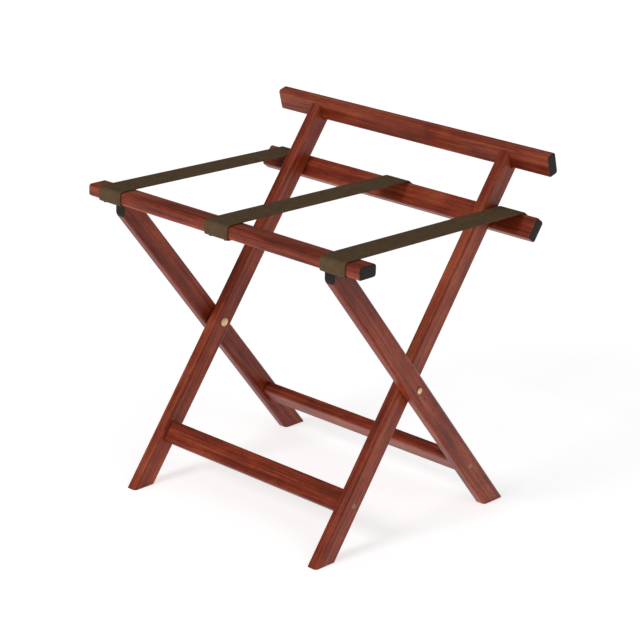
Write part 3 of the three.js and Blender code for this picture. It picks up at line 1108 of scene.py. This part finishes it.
class BuildTacks(bpy.types.Operator):
    """Build the tacks that hold the straps' ends"""

    bl_idname = "luggage_rack.build_tacks"
    bl_label = "Tacks"

    def tack(self, node, hardware):
        """A domed upholstery tack, sized from its CAD node."""
        length, head, under, shank = turned_sizes(node)
        rim = 0.85 * under
        bows = [math.radians(a) for a in (0, 15, 30, 45, 60, 75)]
        dome = [(head * math.cos(a), -rim * (1 - math.sin(a))) for a in bows]
        profile = [(0, -length), (shank, -length + 3 * shank), (shank, -under), (head, -under)]
        return show(lathe("tack", [*profile, *dome, (0, 0)], hardware.sides), "tack")

    def execute(self, context):
        hardware = context.scene.luggage_rack.hardware
        # Japanned steel: a black baked varnish with a small soft shine on the dome.
        japan = metal(
            "japanned steel", pale="2c2a28", dark="141312", roughness=0.3, scratch_scale=500.0
        )
        made = self.tack("strap_middle_front_tack_left", hardware)
        for end in ("front", "rear"):
            nodes = [f"strap_{strap}_{end}_tack_{side}" for strap in STRAPS for side in SIDES]
            set_fasteners(f"{end}_tacks", nodes, made, japan)
        bpy.data.objects.remove(made)
        return {"FINISHED"}


class BuildStage(bpy.types.Operator):
    """Set up the floor, the light and the camera"""

    bl_idname = "luggage_rack.build_stage"
    bl_label = "Stage"

    def floor(self, stage):
        """A plain, nearly white floor that reaches past the camera's view."""
        half = stage.floor_size / 2
        mesh = bpy.data.meshes.new("floor")
        corners = [(-half, -half, 0), (half, -half, 0), (half, half, 0), (-half, half, 0)]
        mesh.from_pydata(corners, [], [(0, 1, 2, 3)])
        material, tree, shader = new_material(
            "painted studio floor",
            {
                "Base Color": linear("f2f2f2"),
                "Roughness": 0.9,
                "Specular IOR Level": 0.2,
                "Emission Color": linear("ffffff"),
                "Emission Strength": stage.floor_glow,
            },
        )
        mesh.materials.append(material)
        show(mesh, "floor")

    def lamp(self, name, strength, spread, azimuth, elevation):
        """A far, broad light that shines from this direction, all angles in degrees."""
        light = bpy.data.lights.new(name, "SUN")
        light.energy = strength
        light.angle = math.radians(spread)
        lamp = bpy.data.objects.new(name, light)
        back = self.direction(math.radians(azimuth), math.radians(elevation))
        lamp.rotation_euler = back.to_track_quat("Z", "Y").to_euler()
        bpy.context.scene.collection.objects.link(lamp)

    def direction(self, azimuth, elevation):
        """The unit vector from the rack towards a place round it."""
        level = math.cos(elevation)
        return Vector((math.sin(azimuth) * level, -math.cos(azimuth) * level, math.sin(elevation)))

    def camera(self, stage):
        """The camera, aimed from its place round the rack, with its roll and shift."""
        back = self.direction(stage.azimuth, stage.elevation)
        right = Vector((math.cos(stage.azimuth), math.sin(stage.azimuth), 0))
        up = back.cross(right)
        turn = Matrix((right, up, back)).transposed() @ Matrix.Rotation(stage.roll, 3, "Z")
        data = bpy.data.cameras.new("camera")
        data.lens = stage.lens
        data.sensor_width = 36
        data.shift_y = stage.shift
        data.clip_end = 2 * stage.floor_size
        camera = bpy.data.objects.new("camera", data)
        place = PIVOT + Vector(stage.aim) + back * stage.distance
        camera.matrix_world = Matrix.Translation(place) @ turn.to_4x4()
        bpy.context.scene.collection.objects.link(camera)
        bpy.context.scene.camera = camera

    def sky(self):
        """Soft white light from above that darkens towards the horizon."""
        world = bpy.data.worlds.new("studio")
        world.use_nodes = True
        tree = world.node_tree
        tree.nodes.clear()
        way = add(tree, "ShaderNodeTexCoord").outputs["Generated"]
        height = add(tree, "ShaderNodeSeparateXYZ", {0: way}).outputs["Z"]
        glow = add(
            tree,
            "ShaderNodeMapRange",
            {"Value": height, "From Min": 0.3, "From Max": 0.8, "To Min": 0.1, "To Max": 0.38},
            interpolation_type="SMOOTHSTEP",
        )
        light = add(
            tree,
            "ShaderNodeBackground",
            {"Color": linear("f4f4f6"), "Strength": glow.outputs[0]},
        )
        add(tree, "ShaderNodeOutputWorld", {"Surface": light.outputs[0]})
        bpy.context.scene.world = world

    def execute(self, context):
        stage = context.scene.luggage_rack.stage
        self.floor(stage)
        self.sky()
        self.lamp("key", stage.key_strength, spread=20, azimuth=-6, elevation=36)
        self.lamp("fill", stage.fill_strength, spread=40, azimuth=70, elevation=35)
        self.camera(stage)
        context.scene.view_settings.view_transform = "Standard"
        return {"FINISHED"}


class RackPanel(bpy.types.Panel):
    """Lists the settings and the steps that build the rack"""

    bl_idname = "VIEW3D_PT_luggage_rack"
    bl_label = "Luggage rack"
    bl_space_type = "VIEW_3D"
    bl_region_type = "UI"
    bl_category = "Luggage rack"

    def draw(self, context):
        settings = context.scene.luggage_rack
        for group in (settings.wood, settings.strap, settings.hardware, settings.stage):
            box = self.layout.box()
            for name in group.__annotations__:
                box.prop(group, name)
        for step in STEPS:
            self.layout.operator(step.bl_idname)


SETTINGS = (WoodSettings, StrapSettings, HardwareSettings, StageSettings, RackSettings)
STEPS = (
    BuildBoards,
    BuildStraps,
    BuildPivots,
    BuildPlugs,
    BuildScrews,
    BuildTacks,
    BuildStage,
)


def register():
    for made in (*SETTINGS, *STEPS, RackPanel):
        bpy.utils.register_class(made)
    bpy.types.Scene.luggage_rack = PointerProperty(type=RackSettings)


def unregister():
    del bpy.types.Scene.luggage_rack
    for made in reversed((*SETTINGS, *STEPS, RackPanel)):
        bpy.utils.unregister_class(made)


def main():
    register()
    bpy.ops.luggage_rack.build_boards()
    bpy.ops.luggage_rack.build_straps()
    bpy.ops.luggage_rack.build_pivots()
    bpy.ops.luggage_rack.build_plugs()
    bpy.ops.luggage_rack.build_screws()
    bpy.ops.luggage_rack.build_tacks()
    bpy.ops.luggage_rack.build_stage()


if __name__ == "__main__":
    main()
